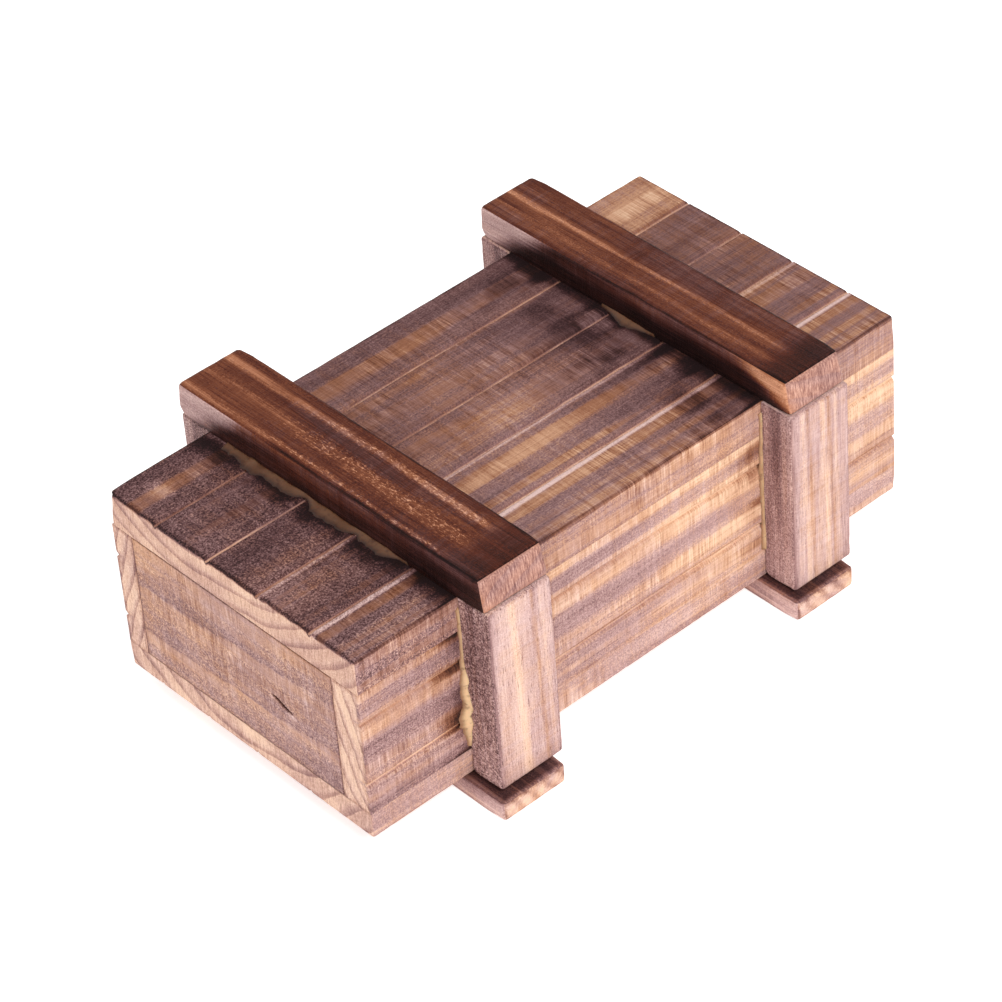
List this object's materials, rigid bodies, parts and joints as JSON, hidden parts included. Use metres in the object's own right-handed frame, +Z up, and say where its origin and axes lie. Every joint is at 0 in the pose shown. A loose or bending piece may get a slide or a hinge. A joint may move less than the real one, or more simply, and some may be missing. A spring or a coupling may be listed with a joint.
{
  "type": "wooden puzzle box",
  "caption": "Small burnt-pine crate puzzle box with strap bars, a hidden drawer behind its flush end panel, and a foot bar that slides sideways to lock the drawer.",
  "frame": {"origin": "bottom centre of the whole box, on the surface that its feet stand on", "axes": "+Z up, -Y out of the end that holds the drawer, +X to the right as one faces the drawer end"},
  "size_m": [0.0746, 0.112, 0.0442],
  "materials": {
    "scorched_board": "torched and wire-brushed pine, matt with a faint sheen",
    "toasted_board": "lightly torched pine, matt",
    "end_panel": "bare pine, lightly toasted, matt",
    "scorched_bar": "deeply torched pine, matt with a faint sheen",
    "post_wood": "bare pine with scorched edges, matt",
    "foot_wood": "bare pine with scorched upper face, matt",
    "tray_wood": "bare planed pine, matt",
    "dowel_wood": "smooth turned hardwood, satin",
    "glue": "hardened translucent wood glue",
    "screw_steel": "zinc-plated steel"
  },
  "bodies": {
    "crate": {"top_board": "scorched_board", "bottom_board": "toasted_board", "left_board": "toasted_board", "right_board": "toasted_board", "rear_panel": "end_panel", "front_top_bar": "scorched_bar", "rear_top_bar": "scorched_bar", "front_left_post": "post_wood", "front_right_post": "post_wood", "rear_left_post": "post_wood", "rear_right_post": "post_wood", "rear_foot_bar": "foot_wood", "glue_beads": "glue"},
    "drawer": {"drawer_front": "end_panel", "drawer_back": "tray_wood", "drawer_left_side": "tray_wood", "drawer_right_side": "tray_wood", "drawer_floor": "tray_wood"},
    "lock": {"lock_bar": "foot_wood", "lock_key": "tray_wood", "lock_keeper": "tray_wood", "lock_pin": "dowel_wood", "keeper_screws": "screw_steel"}
  },
  "joints": [
    {"name": "drawer_slide", "type": "slide", "parent": "crate", "child": "drawer", "axis": [0, -1, 0], "range_m": [0, 0.074]},
    {"name": "lock_slide", "type": "slide", "parent": "crate", "child": "lock", "axis": [-1, 0, 0], "range_m": [0, 0.006]}
  ]
}
